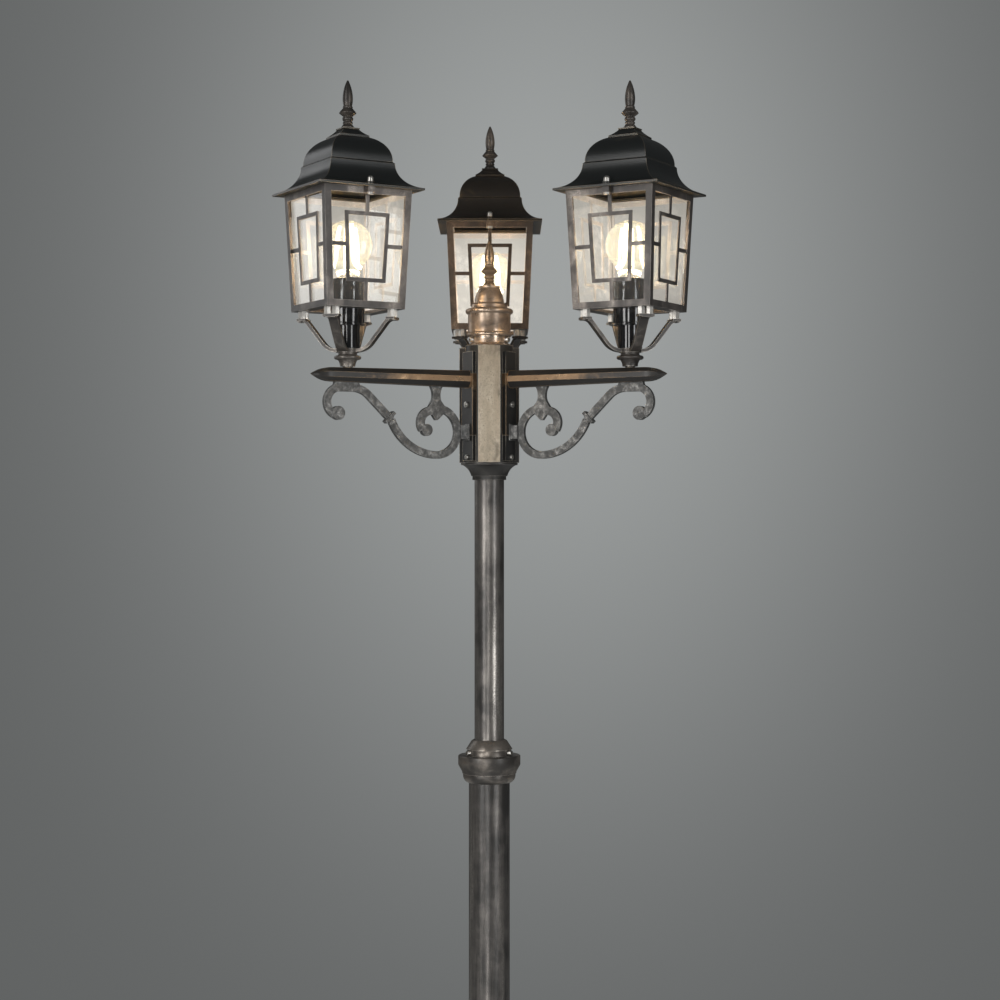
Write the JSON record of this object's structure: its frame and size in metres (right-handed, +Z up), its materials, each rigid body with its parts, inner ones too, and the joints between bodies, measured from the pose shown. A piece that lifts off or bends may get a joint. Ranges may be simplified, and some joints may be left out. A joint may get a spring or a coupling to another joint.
{
  "type": "lamp post",
  "caption": "Garden lamp post whose square glazed lanterns, with ogee roofs and lattice panes, stand on scrolled arms round a turned hub.",
  "frame": {"origin": "centre of the anchor bolt circle, on the underside of the foot, at the ground", "axes": "+Z up along the pole; -Y is the front, midway between the two front lanterns; +Y runs to the rear lantern"},
  "size_m": [0.5366, 0.4647, 2.0504],
  "materials": {
    "antique_black": "antique black paint rubbed back to bronze and pale gold on edges and ridges",
    "roof_black": "near-black satin paint with a thin bronze line at the eave",
    "finial_patina": "dark bronze paint, rubbed brighter on the turned beads",
    "wrought_dark": "dull dark grey antique paint, slightly uneven",
    "pane_glass": "clear flat glass",
    "bulb_glass": "clear lamp glass",
    "cap_metal": "plated screw cap of the bulb",
    "holder_black": "glossy black moulded lamp holder",
    "bright_steel": "bright plated screws and spacers",
    "brass_thread": "threaded lamp tube",
    "terminal_plastic": "off-white connector strip"
  },
  "bodies": {
    "post": {"arm_left": "antique_black", "arm_rear": "antique_black", "arm_right": "antique_black", "arm_screws": "bright_steel", "base_foot": "antique_black", "base_screws": "bright_steel", "body_frame_left": "antique_black", "body_frame_rear": "antique_black", "body_frame_right": "antique_black", "collar_screws": "bright_steel", "cradle_left": "wrought_dark", "cradle_rear": "wrought_dark", "cradle_right": "wrought_dark", "cradle_standoffs": "bright_steel", "glass_panes_left": "pane_glass", "glass_panes_rear": "pane_glass", "glass_panes_right": "pane_glass", "hub_cap": "antique_black", "hub_core": "antique_black", "hub_finial": "finial_patina", "hub_screws": "bright_steel", "hub_socket": "antique_black", "lamp_holder_left": "holder_black", "lamp_holder_rear": "holder_black", "lamp_holder_right": "holder_black", "lamp_nipples": "brass_thread", "lower_tube": "antique_black", "middle_collar": "antique_black", "pane_lattice_left": "antique_black", "pane_lattice_rear": "antique_black", "pane_lattice_right": "antique_black", "roof_studs": "bright_steel", "scroll_clip_left": "wrought_dark", "scroll_clip_rear": "wrought_dark", "scroll_clip_right": "wrought_dark", "scroll_left": "wrought_dark", "scroll_rear": "wrought_dark", "scroll_right": "wrought_dark", "terminal_block": "terminal_plastic", "upper_tube": "antique_black"},
    "roof_unit_left": {"roof_left": "roof_black", "roof_finial_left": "finial_patina", "roof_nuts_left": "finial_patina"},
    "bulb_left": {"bulb_glass_left": "bulb_glass", "bulb_cap_left": "cap_metal"},
    "roof_unit_right": {"roof_right": "roof_black", "roof_finial_right": "finial_patina", "roof_nuts_right": "finial_patina"},
    "bulb_right": {"bulb_glass_right": "bulb_glass", "bulb_cap_right": "cap_metal"},
    "roof_unit_rear": {"roof_rear": "roof_black", "roof_finial_rear": "finial_patina", "roof_nuts_rear": "finial_patina"},
    "bulb_rear": {"bulb_glass_rear": "bulb_glass", "bulb_cap_rear": "cap_metal"}
  },
  "joints": [
    {"name": "roof_lift_left", "type": "slide", "parent": "post", "child": "roof_unit_left", "axis": [0, 0, 1], "range_m": [0, 0.15]},
    {"name": "bulb_turn_left", "type": "hinge", "parent": "post", "child": "bulb_left", "pos_m": [-0.17269, -0.0997, 1.80485], "axis": [0, 0, 1], "range_deg": [0, 900]},
    {"name": "roof_lift_right", "type": "slide", "parent": "post", "child": "roof_unit_right", "axis": [0, 0, 1], "range_m": [0, 0.15]},
    {"name": "bulb_turn_right", "type": "hinge", "parent": "post", "child": "bulb_right", "pos_m": [0.17269, -0.0997, 1.80485], "axis": [0, 0, 1], "range_deg": [0, 900]},
    {"name": "roof_lift_rear", "type": "slide", "parent": "post", "child": "roof_unit_rear", "axis": [0, 0, 1], "range_m": [0, 0.15]},
    {"name": "bulb_turn_rear", "type": "hinge", "parent": "post", "child": "bulb_rear", "pos_m": [0, 0.1994, 1.80485], "axis": [0, 0, 1], "range_deg": [0, 900]}
  ]
}
